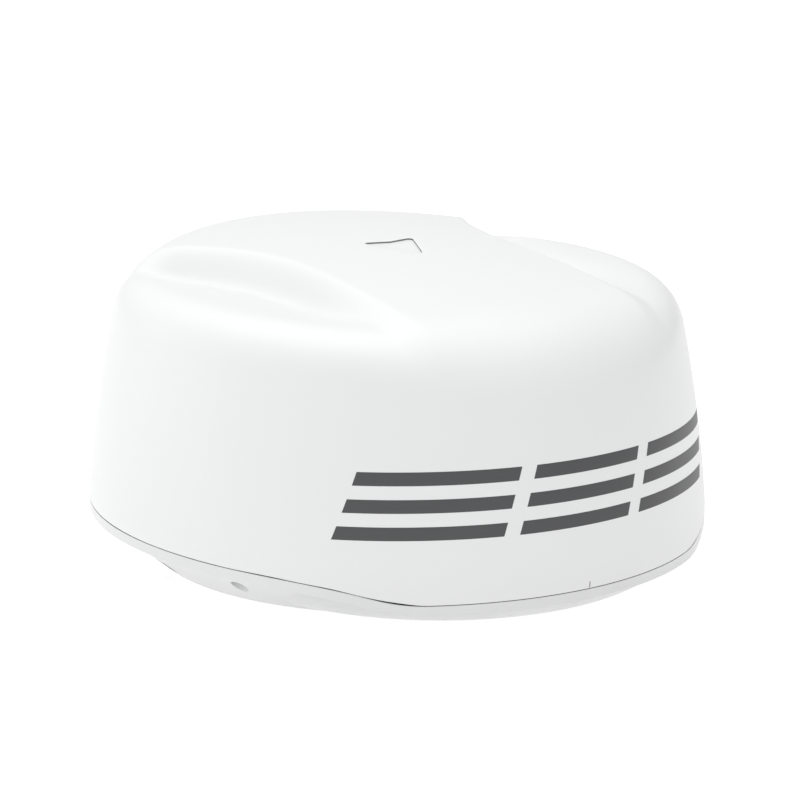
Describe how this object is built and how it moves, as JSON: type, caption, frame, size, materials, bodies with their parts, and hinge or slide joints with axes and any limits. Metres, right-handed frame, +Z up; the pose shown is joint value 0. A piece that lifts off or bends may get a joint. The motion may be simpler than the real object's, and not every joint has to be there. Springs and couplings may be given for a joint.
{
  "type": "radar dome antenna",
  "caption": "Enclosed marine radar: deep white radome over a shallow pan, with a motor-driven turning antenna array, bearing pedestal and electronics inside.",
  "frame": {"origin": "centre of the flat mounting face on the underside", "axes": "+Z up, -Y towards the bow side, +X towards port"},
  "size_m": [0.508, 0.5079, 0.252],
  "materials": {
    "white_shell": "gloss",
    "graphic_grey": "satin print",
    "seal_rubber": "matte",
    "stainless": "satin",
    "brass_insert": "satin",
    "connector_black": "matte",
    "contact_gold": "bright",
    "cast_aluminium": "cast",
    "sheet_aluminium": "brushed",
    "circuit_board": "solder mask",
    "chip_black": "matte",
    "tin_shield": "satin",
    "lead_black": "satin",
    "motor_black": "satin",
    "gear_nylon": "satin",
    "magnet": "nickel",
    "foam_core": "foam",
    "copper": "bright",
    "moulded_grey": "matte"
  },
  "bodies": {
    "base": {"lower_housing": "white_shell", "housing_gasket": "seal_rubber", "cover_screws": "stainless", "screw_seals": "seal_rubber", "mount_inserts": "stainless", "power_connector": "connector_black", "power_contacts": "contact_gold", "network_connector": "connector_black", "network_contacts": "contact_gold", "connector_seals": "seal_rubber", "connector_nuts": "connector_black", "breather_vent": "connector_black", "chassis_plate": "sheet_aluminium", "chassis_screws": "stainless", "main_board": "circuit_board", "board_screws": "stainless", "board_chips": "chip_black", "board_headers": "moulded_grey", "transceiver_shield": "tin_shield", "power_lead": "lead_black", "network_lead": "lead_black", "rf_lead": "lead_black", "motor_lead": "lead_black", "pedestal": "cast_aluminium", "pedestal_screws": "stainless", "lower_bearing": "stainless", "upper_bearing": "stainless", "motor_body": "motor_black", "motor_screws": "stainless", "position_sensor": "moulded_grey", "rotary_joint_stator": "sheet_aluminium"},
    "antenna_rotor": {"spindle": "stainless", "spindle_ring": "stainless", "drive_gear": "gear_nylon", "gear_screws": "stainless", "index_magnet": "magnet", "antenna_hub": "cast_aluminium", "hub_screws": "stainless", "antenna_backplate": "sheet_aluminium", "antenna_core": "foam_core", "antenna_panel": "circuit_board", "antenna_patches": "copper", "panel_rivets": "sheet_aluminium", "antenna_end_caps": "moulded_grey", "rotary_joint_rotor": "sheet_aluminium", "antenna_feed": "lead_black"},
    "motor_rotor": {"motor_shaft": "stainless", "motor_pinion": "stainless"},
    "radome": {"radome_cover": "white_shell", "cover_inserts": "brass_insert", "side_graphic": "graphic_grey"}
  },
  "joints": [
    {"name": "antenna_spin", "type": "hinge", "parent": "base", "child": "antenna_rotor", "pos_m": [0, 0, 0.1], "axis": [0, 0, 1], "continuous": true},
    {"name": "motor_spin", "type": "hinge", "parent": "base", "child": "motor_rotor", "pos_m": [0.084, 0, 0.1], "axis": [0, 0, 1], "continuous": true},
    {"name": "radome_lift", "type": "slide", "parent": "base", "child": "radome", "axis": [0, 0, 1], "range_m": [0, 0.26]}
  ],
  "couplings": [
    {"joint": "motor_spin", "follows": "antenna_spin", "ratio": -6}
  ]
}
